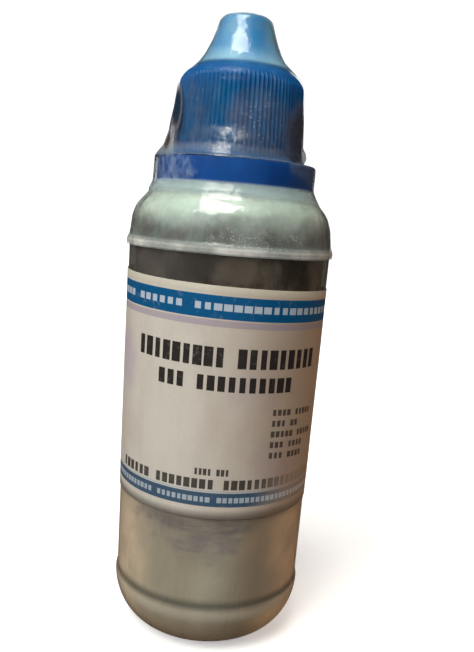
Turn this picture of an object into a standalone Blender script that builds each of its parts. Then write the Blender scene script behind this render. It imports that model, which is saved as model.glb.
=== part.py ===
"""A 125 ml squeeze dropper bottle: bottle, dropper plug, screw cap, tamper ring, shrink film, label, liquid.

The frame is the bottle's own: metres, +Z up, the origin at the middle of the foot, on the surface that the
bottle stands on. The label's printed front faces -Y. Every turned piece shares the Z axis, which is also the
axis of the cap's thread. Lengths below are in millimetres, and point() turns them into metres.
"""

import math

import bmesh
import bpy
from mathutils import Matrix

MM = 0.001
TURN = 2 * math.pi
STEPS = 36  # facets round a full turn
MERGE = 0.00001  # metres
SHARP_ANGLE = math.radians(30)

# Bottle
PANEL_R = 22.3  # the recessed wall that the label is stuck to
HEEL_R = 22.7
FOOT_R = 12.9
FOOT_INNER_R = 9.5
HEEL_TOP = 12.6
PANEL_BOTTOM = 13.1
PANEL_TOP = 90.3
PUSH_UP = 1.5  # how far the middle of the base is pushed up
WALL = 1.0
NECK_R = 10.55
NECK_BORE_R = 9.05
NECK_RIM = 122.8
SHOULDER_LOW = [(22.6, 90.8), (22.2, 93.1), (21.65, 96.1), (20.6, 99.1)]
SHOULDER = SHOULDER_LOW + [(17.8, 102.1), (15.6, 103.3), (12.6, 104.0)]

# Thread, shared by the neck and the cap
LEAD = 3.2
NECK_THREAD_Z = 112.4
NECK_THREAD_TURNS = 1.75
CAP_THREAD_TURNS = 1.5
THREAD_ROOT_HALF = 0.75  # where the thread meets its wall
THREAD_CREST_HALF = 0.4
NECK_THREAD_R = 11.4
CAP_THREAD_R = 10.9
THREAD_SINK = 0.4  # how far a thread's root is buried in its wall

# Cap
CAP_BOTTOM = 109.7
CAP_BORE_R = 11.7
SKIRT_BOTTOM_R = 13.7
SKIRT_TOP_R = 12.85
SKIRT_TOP = 123.7
CAP_TOP = 137.5
RIB_COUNT = 90
RIB_PROUD = 0.4
RIB_WIDTH = 0.5
RIB_ENDS = (110.3, 123.2)

# Tamper ring
RING_R = 17.0
RING_BOTTOM = 104.1
RING_TOP = 108.9
RING_WALL = 1.2
RING_BORE_R = 12.75
RING_INNER_BOTTOM = 104.95
LUG_COUNT = 8
LUG_REACH_R = 11.9
LUG_HEIGHT = 0.85
BRIDGE_COUNT = 8
BRIDGE_HEIGHT = 0.5

# Label
LABEL_R = 22.4  # inner face
LABEL_THICK = 0.15
LABEL_BOTTOM = 35.1
LABEL_TOP = 85.3
LABEL_GAP_DEG = 20  # the strip at the back where the label doesn't meet itself

# Film and liquid
FILM_THICK = 0.15
LIQUID_TOP = 95.5
LIQUID_GAP = 0.3


def clear_scene():
    for obj in list(bpy.data.objects):
        bpy.data.objects.remove(obj)


def new_collection(name, hidden=False):
    collection = bpy.data.collections.new(name)
    bpy.context.scene.collection.children.link(collection)
    collection.hide_render = hidden
    return collection


def new_material(name, colour, roughness, alpha=1.0):
    material = bpy.data.materials.new(name)
    material.use_nodes = True
    shader = material.node_tree.nodes["Principled BSDF"]
    shader.inputs["Base Color"].default_value = (*colour, 1.0)
    shader.inputs["Roughness"].default_value = roughness
    shader.inputs["Metallic"].default_value = 0.0
    shader.inputs["Alpha"].default_value = alpha
    return material


def point(radius, z, angle=0.0):
    return (radius * math.cos(angle) * MM, radius * math.sin(angle) * MM, z * MM)


def arc(centre, radii, start_deg, end_deg, count):
    """Points of an ellipse's arc in the (radius, z) plane, ends included."""
    spread = [math.radians(start_deg + (end_deg - start_deg) * i / (count - 1)) for i in range(count)]
    return [(centre[0] + radii[0] * math.cos(a), centre[1] + radii[1] * math.sin(a)) for a in spread]


def inset(profile, depth):
    """The profile moved sideways by depth, to the right of its direction of travel."""
    moved = []
    for i, (r, z) in enumerate(profile):
        before = profile[max(i - 1, 0)]
        after = profile[min(i + 1, len(profile) - 1)]
        along = (after[0] - before[0], after[1] - before[1])
        length = math.hypot(*along)
        moved.append((r + depth * along[1] / length, z - depth * along[0] / length))
    return moved


def profile_object(name, profile, closed, collection):
    """Vertices at +X joined by edges: the section that a Screw modifier turns."""
    mesh = bpy.data.meshes.new(name)
    edges = [(i, i + 1) for i in range(len(profile) - 1)]
    if closed:
        edges.append((len(profile) - 1, 0))
    mesh.from_pydata([point(r, z) for r, z in profile], edges, [])
    obj = bpy.data.objects.new(name, mesh)
    collection.objects.link(obj)
    return obj


def add_screw(obj, steps, turns=1.0, rise=0.0):
    screw = obj.modifiers.new("Turn", "SCREW")
    screw.axis = "Z"
    screw.angle = turns * TURN
    screw.screw_offset = rise * MM
    screw.steps = screw.render_steps = steps
    screw.use_merge_vertices = turns == 1.0
    screw.merge_threshold = MERGE
    screw.use_smooth_shade = False


def turned(name, profile, collection, material, closed=False):
    """A solid of revolution. The profile runs down its outer side."""
    obj = profile_object(name, profile, closed, collection)
    add_screw(obj, STEPS)
    obj.data.materials.append(material)
    return obj


def helper_from(name, bm, collection):
    """A hidden solid that a Boolean modifier uses."""
    bmesh.ops.recalc_face_normals(bm, faces=bm.faces)
    mesh = bpy.data.meshes.new(name)
    bm.to_mesh(mesh)
    bm.free()
    obj = bpy.data.objects.new(name, mesh)
    obj.display_type = "WIRE"
    obj.hide_render = True
    collection.objects.link(obj)
    return obj


def finish(obj):
    """Applies the modifiers, then shades the piece smooth between its sharp edges."""
    bpy.context.view_layer.update()
    evaluated = obj.evaluated_get(bpy.context.evaluated_depsgraph_get())
    mesh = bpy.data.meshes.new_from_object(evaluated)
    obj.modifiers.clear()
    obj.data = mesh
    mesh.name = obj.name
    mesh.shade_smooth()
    mesh.set_sharp_from_angle(angle=SHARP_ANGLE)


def add_union(obj, helper):
    union = obj.modifiers.new(helper.name, "BOOLEAN")
    union.operation = "UNION"
    union.solver = "EXACT"
    union.object = helper


def thread(name, wall_r, crest_r, z, turns, collection):
    """A right-handed helical ridge of trapezoid section with blunt ends, standing on wall_r."""
    root_r = wall_r - math.copysign(THREAD_SINK, crest_r - wall_r)
    flare = (THREAD_ROOT_HALF - THREAD_CREST_HALF) / abs(crest_r - wall_r)
    root_half = THREAD_ROOT_HALF + flare * THREAD_SINK
    section = [
        (root_r, z - root_half),
        (crest_r, z - THREAD_CREST_HALF),
        (crest_r, z + THREAD_CREST_HALF),
        (root_r, z + root_half),
    ]
    sweep = profile_object(name + "_sweep", section, True, collection)
    add_screw(sweep, round(STEPS * turns), turns, LEAD * turns)
    bpy.context.view_layer.update()
    evaluated = sweep.evaluated_get(bpy.context.evaluated_depsgraph_get())
    bm = bmesh.new()
    bm.from_mesh(evaluated.to_mesh())
    evaluated.to_mesh_clear()
    bpy.data.objects.remove(sweep)
    open_edges = [edge for edge in bm.edges if edge.is_boundary]
    bmesh.ops.holes_fill(bm, edges=open_edges, sides=len(section))
    bmesh.ops.rotate(bm, verts=bm.verts, matrix=Matrix.Rotation(TURN / STEPS / 2, 3, "Z"))
    return helper_from(name, bm, collection)


def blocks_round(name, count, size, middle, tilt, collection, phase=0.0):
    """Equal blocks spaced round the axis. size is radial, tangential, upright; middle is (radius, z)."""
    bm = bmesh.new()
    scale = Matrix.Diagonal((size[0] * MM, size[1] * MM, size[2] * MM, 1.0))
    lean = Matrix.Rotation(tilt, 4, "Y")
    place = Matrix.Translation(point(*middle))
    for i in range(count):
        turn = Matrix.Rotation(phase + TURN * i / count, 4, "Z")
        bmesh.ops.create_cube(bm, size=1.0, matrix=turn @ place @ lean @ scale)
    return helper_from(name, bm, collection)


def base_and_wall(foot_r, inner_r, heel_r, floor, panel_r, push_up):
    """The lower bottle's section from the panel's top down to the middle of the base."""
    heel = arc((foot_r, HEEL_TOP), (heel_r - foot_r, HEEL_TOP - floor), 0, -90, 8)
    middle = [(inner_r, floor), (inner_r - 1.0, floor + 0.6 * push_up), (0.0, floor + push_up)]
    return [(panel_r, PANEL_TOP), (panel_r, PANEL_BOTTOM)] + heel + middle


def make_bottle(parts, helpers, material):
    neck_outside = [
        (NECK_R, NECK_RIM),
        (NECK_R, 108.4),
        (12.3, 107.1),
        (12.3, 106.2),
        (NECK_R, 106.1),
        (NECK_R, 104.8),
    ]
    outside = neck_outside + SHOULDER[::-1]
    outside += base_and_wall(FOOT_R, FOOT_INNER_R, HEEL_R, 0.0, PANEL_R, PUSH_UP)
    inner_shoulder = [(r, z) for r, z in inset(SHOULDER[::-1], WALL) if r > NECK_BORE_R + 1.0]
    inside = [(NECK_BORE_R, NECK_RIM), (NECK_BORE_R, 103.6)] + inner_shoulder
    inside += base_and_wall(FOOT_R, FOOT_INNER_R, HEEL_R - WALL, WALL, PANEL_R - WALL, PUSH_UP)
    bottle = turned("bottle_body", inside[::-1] + outside, parts, material)
    ridge = thread("neck_thread", NECK_R, NECK_THREAD_R, NECK_THREAD_Z, NECK_THREAD_TURNS, helpers)
    add_union(bottle, ridge)


def make_plug(parts, material):
    """The press-in dropper: a skirt with two sealing beads, a flange on the neck's rim, and the nozzle."""
    tip = [(0.8, 133.4), (2.2, 133.7), (2.7, 133.3)]
    nozzle_outside = tip + [(3.4, 131.4), (4.5, 128.7), (5.5, 126.0), (6.2, 124.3)]
    flange = [(10.5, 124.3), (10.5, 123.1), (8.4, 123.1)]
    beads = []
    for z in (120.0, 116.5):
        beads += [(8.4, z + 0.5), (8.72, z), (8.4, z - 0.5)]
    inside = [
        (8.1, 113.2),
        (7.2, 113.2),
        (7.2, 122.2),
        (5.0, 123.4),
        (4.2, 125.0),
        (3.2, 128.3),
        (2.0, 131.0),
        (0.8, 132.3),
    ]
    turned("dropper_plug", nozzle_outside + flange + beads + inside, parts, material, closed=True)


def make_cap(parts, helpers, material):
    """One moulding: a ribbed, tapered skirt, a rounded shoulder, a hollow cone, and a pin that seals the nozzle."""
    cone_top = [(0.0, CAP_TOP), (3.5, CAP_TOP), (4.6, 137.2), (5.3, 136.5)]
    cone = [(5.8, 135.0), (6.8, 132.3), (8.0, 130.0), (9.3, 128.2), (10.4, 127.1)]
    rounding = [(11.4, 126.5), (12.3, 125.6), (12.75, 124.7), (SKIRT_TOP_R, SKIRT_TOP)]
    skirt_foot = [(SKIRT_BOTTOM_R, CAP_BOTTOM + 0.2), (SKIRT_BOTTOM_R - 0.2, CAP_BOTTOM)]
    outside = cone_top + cone + rounding + skirt_foot
    inside = [
        (CAP_BORE_R, CAP_BOTTOM),
        (CAP_BORE_R, 124.6),
        (9.3, 124.6),
        (9.0, 126.2),
        (7.6, 128.5),
        (6.5, 130.6),
        (5.5, 132.9),
        (4.6, 135.1),
        (3.6, 136.2),
    ]
    seal = [(2.0, 136.3), (2.0, 134.0), (0.5, 134.0), (0.5, 133.1), (0.0, 132.9)]
    cap = turned("screw_cap", outside + inside + seal, parts, material)

    lean = math.atan2(SKIRT_TOP_R - SKIRT_BOTTOM_R, SKIRT_TOP - CAP_BOTTOM)
    middle_z = sum(RIB_ENDS) / 2
    share = (middle_z - CAP_BOTTOM) / (SKIRT_TOP - CAP_BOTTOM)
    wall_r = SKIRT_BOTTOM_R + (SKIRT_TOP_R - SKIRT_BOTTOM_R) * share
    size = (2 * RIB_PROUD, RIB_WIDTH, RIB_ENDS[1] - RIB_ENDS[0])
    ribs = blocks_round("ribs", RIB_COUNT, size, (wall_r, middle_z), lean, helpers)
    add_union(cap, ribs)

    ridge_z = NECK_THREAD_Z - LEAD / 2
    add_union(cap, thread("cap_thread", CAP_BORE_R, CAP_THREAD_R, ridge_z, CAP_THREAD_TURNS, helpers))


def make_ring(parts, helpers, material):
    """The tamper-evident ring: outer wall, top web, inner wall with lugs under the neck's bead, and bridges."""
    inner_wall_r = RING_BORE_R + 1.0
    web_bottom = RING_TOP - RING_WALL
    section = [
        (RING_R - 0.2, RING_TOP),
        (RING_R, RING_TOP - 0.2),
        (RING_R, RING_BOTTOM),
        (RING_R - RING_WALL, RING_BOTTOM),
        (RING_R - RING_WALL, web_bottom),
        (inner_wall_r, web_bottom),
        (inner_wall_r, RING_INNER_BOTTOM),
        (RING_BORE_R, RING_INNER_BOTTOM),
        (RING_BORE_R, RING_TOP),
    ]
    ring = turned("tamper_ring", section, parts, material, closed=True)

    lug_outer = RING_BORE_R + 0.5
    lug_size = (lug_outer - LUG_REACH_R, 3.0, LUG_HEIGHT)
    lug_middle = ((lug_outer + LUG_REACH_R) / 2, RING_INNER_BOTTOM + LUG_HEIGHT / 2 + 0.05)
    add_union(ring, blocks_round("lugs", LUG_COUNT, lug_size, lug_middle, 0.0, helpers))

    buried = 0.5
    bridge_size = (0.7, 0.9, BRIDGE_HEIGHT + buried)
    bridge_middle = (RING_BORE_R + 0.6, RING_TOP + (BRIDGE_HEIGHT - buried) / 2)
    phase = TURN / BRIDGE_COUNT / 2
    add_union(ring, blocks_round("bridges", BRIDGE_COUNT, bridge_size, bridge_middle, 0.0, helpers, phase))


def make_film(parts, material):
    """The clear shrink sleeve: it hangs from the cone, leaves the cap's waist free and grips the shoulder.

    Its radius never shrinks downwards, so the sleeve slides off over the cap.
    """
    over_cone = [(3.7, 137.85), (5.0, 137.6), (5.7, 136.6), (6.2, 135.1), (7.2, 132.4), (8.5, 130.0)]
    over_cap = [(10.8, 127.5), (12.6, 126.4), (13.6, 123.7), (14.9, 114.5), (15.7, 111.5)]
    over_ring = [(17.4, 109.1), (17.45, 104.1), (18.5, 102.3)]
    over_shoulder = [(21.0, 99.3), (22.05, 96.2), (22.6, 93.1), (23.0, 90.4)]
    outside = over_cone + over_cap + over_ring + over_shoulder
    turned("shrink_film", outside + inset(outside, FILM_THICK)[::-1], parts, material, closed=True)


def make_label(parts, material):
    """A paper strip round the panel that stops short of meeting itself at the back, which faces +Y."""
    label = profile_object("label", [(LABEL_R, LABEL_TOP), (LABEL_R, LABEL_BOTTOM)], False, parts)
    covered = 1.0 - LABEL_GAP_DEG / 360.0
    add_screw(label, round(STEPS * covered), covered)
    label.rotation_euler.z = math.radians(90 + LABEL_GAP_DEG / 2)
    thickness = label.modifiers.new("Thickness", "SOLIDIFY")
    thickness.thickness = LABEL_THICK * MM
    thickness.offset = 1.0
    label.data.materials.append(material)


def make_liquid(parts, material):
    """The indicator solution, clear of the wall all round, up to its level in the shoulder."""
    wall_r = PANEL_R - WALL - LIQUID_GAP
    heel_r = HEEL_R - WALL - LIQUID_GAP
    floor = WALL + LIQUID_GAP
    surface = [(0.0, LIQUID_TOP), (20.1, LIQUID_TOP), (20.9, 92.0)]
    turned(
        "indicator_liquid",
        surface + base_and_wall(FOOT_R, FOOT_INNER_R, heel_r, floor, wall_r, PUSH_UP),
        parts,
        material,
    )


def main():
    clear_scene()
    parts = new_collection("dropper_bottle")
    helpers = new_collection("helpers", hidden=True)
    natural = new_material("natural_polythene", (0.72, 0.77, 0.71), 0.35)
    dropper = new_material("dropper_polythene", (0.85, 0.87, 0.84), 0.35)
    blue = new_material("blue_cap_plastic", (0.01, 0.08, 0.33), 0.4)
    ring_blue = new_material("blue_ring_plastic", (0.0, 0.09, 0.42), 0.35)
    clear = new_material("clear_film", (0.85, 0.88, 0.88), 0.08, alpha=0.2)
    paper = new_material("label_paper", (0.62, 0.58, 0.52), 0.5)
    solution = new_material("indicator_solution", (0.03, 0.04, 0.03), 0.1)
    make_bottle(parts, helpers, natural)
    make_plug(parts, dropper)
    make_cap(parts, helpers, blue)
    make_ring(parts, helpers, ring_blue)
    make_film(parts, clear)
    make_label(parts, paper)
    make_liquid(parts, solution)
    for piece in parts.objects:
        finish(piece)


main()
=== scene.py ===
"""The finished look of the dropper bottle: turned shells, a creased film, a printed label and a studio.

Lengths are in millimetres until point() makes them metres. The bottle's axis is Z, and its label faces -Y.
"""

import math
from collections import namedtuple

import bmesh
import bpy
from mathutils import Matrix, Vector, noise


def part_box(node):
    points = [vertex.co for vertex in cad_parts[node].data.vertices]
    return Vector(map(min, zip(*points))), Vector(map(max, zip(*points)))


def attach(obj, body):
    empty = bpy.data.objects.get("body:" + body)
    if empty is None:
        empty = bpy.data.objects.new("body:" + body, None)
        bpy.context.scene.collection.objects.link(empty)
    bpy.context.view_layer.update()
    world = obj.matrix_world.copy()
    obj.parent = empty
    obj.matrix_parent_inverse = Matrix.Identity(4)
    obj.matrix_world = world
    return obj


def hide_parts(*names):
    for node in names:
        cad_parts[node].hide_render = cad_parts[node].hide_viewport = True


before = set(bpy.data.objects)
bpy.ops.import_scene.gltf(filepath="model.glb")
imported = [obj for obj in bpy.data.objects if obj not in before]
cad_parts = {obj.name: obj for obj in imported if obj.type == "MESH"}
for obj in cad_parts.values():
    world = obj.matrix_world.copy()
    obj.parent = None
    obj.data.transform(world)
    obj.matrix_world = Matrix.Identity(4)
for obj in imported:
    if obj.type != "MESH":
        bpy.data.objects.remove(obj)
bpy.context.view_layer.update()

MM = 0.001
TURN = 2 * math.pi
FRONT = -TURN / 4  # the angle that the label's middle faces
SEGMENTS = 144
FILM_SEGMENTS = 176

# Wall thicknesses and clearances
WALL = 1.0
FILM_THICK = 0.08
LABEL_THICK = 0.12
LIQUID_GAP = 0.3

# Thread, shared by the neck and the cap
LEAD = 3.2
THREAD_ROOT_HALF = 1.0
THREAD_CREST_HALF = 0.35
THREAD_SUNK = 0.4  # how far its root reaches into its wall

# Cap ribs, and the ring's snapped bridges and catches
RIB_COUNT = 90
RIB_PROUD = 0.32
BRIDGE_COUNT = 8

# Label
LABEL_HALF_DEG = 170
LABEL_SKEW = -0.0215  # rise of the top edge for each millimetre to the right
LABEL_HEIGHT = 49.6
LABEL_LIFT = 0.03  # how far its surface may stand off in places
LABEL_DROP = 0.25  # how far its lower edge is below the CAD label's
UV_UNIT = 100.0  # millimetres of label for each unit of its UV map

# Heights where one part of the shape gives way to the next
PANEL_BOTTOM = 13.1
PANEL_TOP = 90.3
RIDGE_TOP = 92.1
SHOULDER_TOP = 104.0
RING_TOP = 108.9
SKIRT_FOOT = 109.9
SKIRT_TOP = 123.7
CONE_FOOT = 126.6

# Radii
SKIRT_FOOT_R = 13.7
SKIRT_TOP_R = 12.85
CAP_BORE_R = 11.7

# Camera: where it stands, how many degrees it looks down, turns left and rolls, and its lens
CAMERA_DISTANCE = 160.2
CAMERA_HEIGHT = 97.8
CAMERA_DOWN = 15.2
CAMERA_YAW = -1.6
CAMERA_ROLL = 4.7
CAMERA_LENS = 38.4
CAMERA_SHIFT = 0.123

Turned = namedtuple("Turned", "radius bottom top")


def node_size(node):
    low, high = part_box(node)
    return Turned((high[0] - low[0]) / 2 / MM, low[2] / MM, high[2] / MM)


BOTTLE = node_size("bottle_body")
PLUG = node_size("dropper_plug")
CAP = node_size("screw_cap")
RING = node_size("tamper_ring")
FILM = node_size("shrink_film")
LABEL = node_size("label")
LIQUID = node_size("indicator_liquid")


# ---------------------------------------------------------------- shapes


def point(radius, z, angle=0.0):
    return Vector((radius * math.cos(angle), radius * math.sin(angle), z)) * MM


def smoothstep(low, high, value):
    share = min(max((value - low) / (high - low), 0.0), 1.0)
    return share * share * (3 - 2 * share)


def within(value, span):
    """Eases from 0 to 1 and back as value goes through the span (start, full, still full, end)."""
    start, full, still, end = span
    return smoothstep(start, full, value) * smoothstep(end, still, value)


def bump(angle, centre, half_width):
    """1 at the centre angle, falling smoothly to 0 at half_width either side. Angles in degrees."""
    away = abs((math.degrees(angle) - centre + 180) % 360 - 180)
    return 1 - smoothstep(0, half_width, away)


def along(profile, z):
    """The radius of a profile that runs from top to bottom, at height z."""
    for (r_high, z_high), (r_low, z_low) in zip(profile, profile[1:]):
        if z_low <= z <= z_high and z_high > z_low:
            return r_low + (r_high - r_low) * (z - z_low) / (z_high - z_low)
    return profile[0][0] if z > profile[0][1] else profile[-1][0]


def arc(centre, radii, start_deg, end_deg, count):
    spread = [math.radians(start_deg + (end_deg - start_deg) * i / (count - 1)) for i in range(count)]
    return [(centre[0] + radii[0] * math.cos(a), centre[1] + radii[1] * math.sin(a)) for a in spread]


def inset(profile, depth):
    """The profile moved sideways by depth, to the right of its direction of travel."""
    moved = []
    for i, (r, z) in enumerate(profile):
        before = profile[max(i - 1, 0)]
        after = profile[min(i + 1, len(profile) - 1)]
        step = Vector((after[0] - before[0], after[1] - before[1])).normalized()
        moved.append((r + depth * step.y, z - depth * step.x))
    return moved


def rounded(profile, radius, closed=False, steps=4):
    """The profile with its corners eased, by up to radius and less where a side is short."""
    points = [Vector(p) for p in profile]
    count = len(points)
    eased = []
    for i, corner in enumerate(points):
        if not closed and i in (0, count - 1):
            eased.append(tuple(corner))
            continue
        back = points[i - 1] - corner
        ahead = points[(i + 1) % count] - corner
        start = corner + back * min(radius / back.length, 0.45)
        end = corner + ahead * min(radius / ahead.length, 0.45)
        for k in range(steps + 1):
            t = k / steps
            eased.append(tuple(start * (1 - t) ** 2 + corner * 2 * t * (1 - t) + end * t * t))
    return eased


def dense(profile, spacing):
    """The profile with points added so that none are further apart than spacing."""
    filled = [profile[0]]
    for a, b in zip(profile, profile[1:]):
        parts = max(1, math.ceil(math.dist(a, b) / spacing))
        step = Vector(b) - Vector(a)
        filled += [tuple(Vector(a) + step * i / parts) for i in range(1, parts + 1)]
    return filled


def flowing(profile, steps=5):
    """A smooth curve through the profile's points (Catmull-Rom)."""
    points = [Vector(p) for p in profile]
    ends = [2 * points[0] - points[1]] + points + [2 * points[-1] - points[-2]]
    curve = []
    for a, b, c, d in zip(ends, ends[1:], ends[2:], ends[3:]):
        for k in range(steps):
            t = k / steps
            bend = (2 * a - 5 * b + 4 * c - d) * t * t + (3 * b - a - 3 * c + d) * t ** 3
            curve.append(tuple((2 * b + (c - a) * t + bend) / 2))
    return curve + [tuple(points[-1])]


def object_from(bm, name, materials, sharp_deg=40):
    bmesh.ops.recalc_face_normals(bm, faces=bm.faces)
    mesh = bpy.data.meshes.new(name)
    bm.to_mesh(mesh)
    bm.free()
    for material in materials:
        mesh.materials.append(material)
    mesh.shade_smooth()
    mesh.set_sharp_from_angle(angle=math.radians(sharp_deg))
    obj = bpy.data.objects.new(name, mesh)
    bpy.context.scene.collection.objects.link(obj)
    return obj


def lathe(profile, segments=SEGMENTS, closed=False, warp=None, second_slot=()):
    """A turned bmesh. warp(r, z, angle) gives a point's own radius; rows in second_slot take material 1."""
    bm = bmesh.new()
    rings = []
    for r, z in profile:
        if r < 1e-6:
            rings.append([bm.verts.new(point(0, z))])
            continue
        angles = [TURN * i / segments for i in range(segments)]
        rings.append([bm.verts.new(point(warp(r, z, a) if warp else r, z, a)) for a in angles])
    pairs = list(zip(rings, rings[1:]))
    if closed:
        pairs.append((rings[-1], rings[0]))
    for row, (upper, lower) in enumerate(pairs):
        for i in range(segments):
            corners = [upper[i % len(upper)], upper[(i + 1) % len(upper)]]
            corners += [lower[(i + 1) % len(lower)], lower[i % len(lower)]]
            face = bm.faces.new(list(dict.fromkeys(corners)))
            face.material_index = 1 if row in second_slot else 0
    return bm


def helix(root_r, crest_r, z, turns):
    """A right-handed thread of trapezoid section whose ends taper into its wall."""
    bm = bmesh.new()
    steps = round(SEGMENTS * turns)
    rows = []
    for i in range(steps + 1):
        angle = TURN * turns * i / steps
        fade = smoothstep(0, 0.12, i / steps) * smoothstep(0, 0.12, 1 - i / steps)
        crest = root_r + (crest_r - root_r) * (0.35 + 0.65 * fade)
        middle = z + LEAD * angle / TURN
        section = [
            (root_r, middle - THREAD_ROOT_HALF),
            (crest, middle - THREAD_CREST_HALF),
            (crest, middle + THREAD_CREST_HALF),
            (root_r, middle + THREAD_ROOT_HALF),
        ]
        rows.append([bm.verts.new(point(r, h, angle + TURN / SEGMENTS / 2)) for r, h in section])
    for a, b in zip(rows, rows[1:]):
        for k in range(4):
            bm.faces.new((a[k], a[(k + 1) % 4], b[(k + 1) % 4], b[k]))
    bm.faces.new(rows[0])
    bm.faces.new(rows[-1])
    return bm


def blocks(count, size, middle, phase):
    """Equal blocks round the axis. size is radial, tangential, upright; middle is (radius, z)."""
    bm = bmesh.new()
    scale = Matrix.Diagonal((*(Vector(size) * MM), 1.0))
    for i in range(count):
        turn = Matrix.Rotation(phase + TURN * i / count, 4, "Z")
        bmesh.ops.create_cube(bm, size=1.0, matrix=turn @ Matrix.Translation(point(*middle)) @ scale)
    return bm


def join(obj, bm):
    """Unites a second closed shape with obj for good."""
    other = object_from(bm, obj.name + "_join", [])
    union = obj.modifiers.new("Join", "BOOLEAN")
    union.operation = "UNION"
    union.solver = "EXACT"
    union.object = other
    bpy.context.view_layer.update()
    mesh = bpy.data.meshes.new_from_object(obj.evaluated_get(bpy.context.evaluated_depsgraph_get()))
    obj.modifiers.clear()
    obj.data = mesh
    bpy.data.objects.remove(other)


def place(obj, body, node):
    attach(obj, body)
    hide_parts(node)


# ---------------------------------------------------------------- materials


# Heights between which a look eases in and out again: where it starts, is full, is still full and ends
STEP_HIGHLIGHT = (8.8, 11.0, 11.6, 12.7)
STEP_SHADE = (12.1, 13.0, 13.3, 15.6)
UNDER_RING = (100.8, 102.6, 103.8, 104.5)
ON_RING = (103.6, 104.4, 108.8, 109.4)
LOW_ON_CAP = (108.0, 109.5, 116.5, 118.5)
BRIDGED = (108.6, 109.8, 120.0, 126.0)
GAP_FILL_LIGHT = (RING_TOP, 109.2, 109.5, 112.0)
ON_SKIRT = (109.5, 112.0, 123.0, 126.0)
CLINGING = (118.0, 120.0, 126.8, 127.4)
CAP_RIM = (121.0, 125.0, CONE_FOOT, CONE_FOOT + 0.8)
FOOT_OF_CONE = (127.2, 128.0, 128.0, 131.5)
LEFT_OF_CONE = (-7.0, -3.5, -2.0, 0.0)  # across the film, not up it

FilmMarks = namedtuple("FilmMarks", "even under_ring tucked ridge droplets flecks bridging crumple fold")


class Nodes:
    """Short names for adding nodes to a tree. Values may be numbers or sockets."""

    def __init__(self, tree):
        self.tree = tree

    def feed(self, socket, value):
        if isinstance(value, bpy.types.NodeSocket):
            self.tree.links.new(value, socket)
        elif isinstance(value, tuple) and len(value) == 3 and socket.type == "RGBA":
            socket.default_value = (*value, 1.0)
        else:
            socket.default_value = value

    def node(self, kind, output=0, settings=None, **inputs):
        """One output, by number or name, of a new node of that kind."""
        made = self.tree.nodes.new("ShaderNode" + kind)
        for key, value in (settings or {}).items():
            setattr(made, key, value)
        for key, value in inputs.items():
            self.feed(made.inputs[key.replace("_", " ")], value)
        return made.outputs[output]

    def math(self, operation, *values):
        made = self.tree.nodes.new("ShaderNodeMath")
        made.operation = operation
        for socket, value in zip(made.inputs, values):
            self.feed(socket, value)
        return made.outputs[0]

    def times(self, *values):
        product = values[0]
        for value in values[1:]:
            product = self.math("MULTIPLY", product, value)
        return product

    def plus(self, *values):
        total = values[0]
        for value in values[1:]:
            total = self.math("ADD", total, value)
        return total

    def ramp(self, value, low, high, start=0.0, end=1.0):
        """Eases from start to end as value goes from low to high."""
        made = self.tree.nodes.new("ShaderNodeMapRange")
        made.interpolation_type = "SMOOTHSTEP"
        for key, number in (("From Min", low), ("From Max", high), ("To Min", start), ("To Max", end)):
            made.inputs[key].default_value = number
        self.feed(made.inputs["Value"], value)
        return made.outputs[0]

    def within(self, value, span):
        """Eases from 0 to 1 and back as value goes through the span."""
        start, full, still, end = span
        return self.times(self.ramp(value, start, full), self.ramp(value, end, still))

    def capped(self, value, most=1.0):
        return self.math("MINIMUM", value, most)

    def largest(self, *values):
        most = values[0]
        for value in values[1:]:
            most = self.math("MAXIMUM", most, value)
        return most

    def minus(self, value, taken):
        return self.math("SUBTRACT", value, taken)

    def mix(self, share, first, second):
        made = self.tree.nodes.new("ShaderNodeMix")
        made.data_type = "RGBA"
        colours = [s for s in made.inputs if s.type == "RGBA"]
        self.feed(made.inputs["Factor"], share)
        self.feed(colours[0], first)
        self.feed(colours[1], second)
        return [s for s in made.outputs if s.type == "RGBA"][0]

    def bumped(self, height, distance, strength=1.0):
        """A surface normal for a bump whose distance is in metres."""
        return self.node("Bump", Height=height, Distance=distance, Strength=strength)

    def layered(self, colour, *layers):
        """The colour with each layer laid over it in turn. A layer is its share and its own colour."""
        for share, layer in layers:
            colour = self.mix(share, colour, layer)
        return colour

    def shader_mix(self, share, first, second):
        made = self.tree.nodes.new("ShaderNodeMixShader")
        self.feed(made.inputs[0], share)
        self.feed(made.inputs[1], first)
        self.feed(made.inputs[2], second)
        return made.outputs[0]


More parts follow.
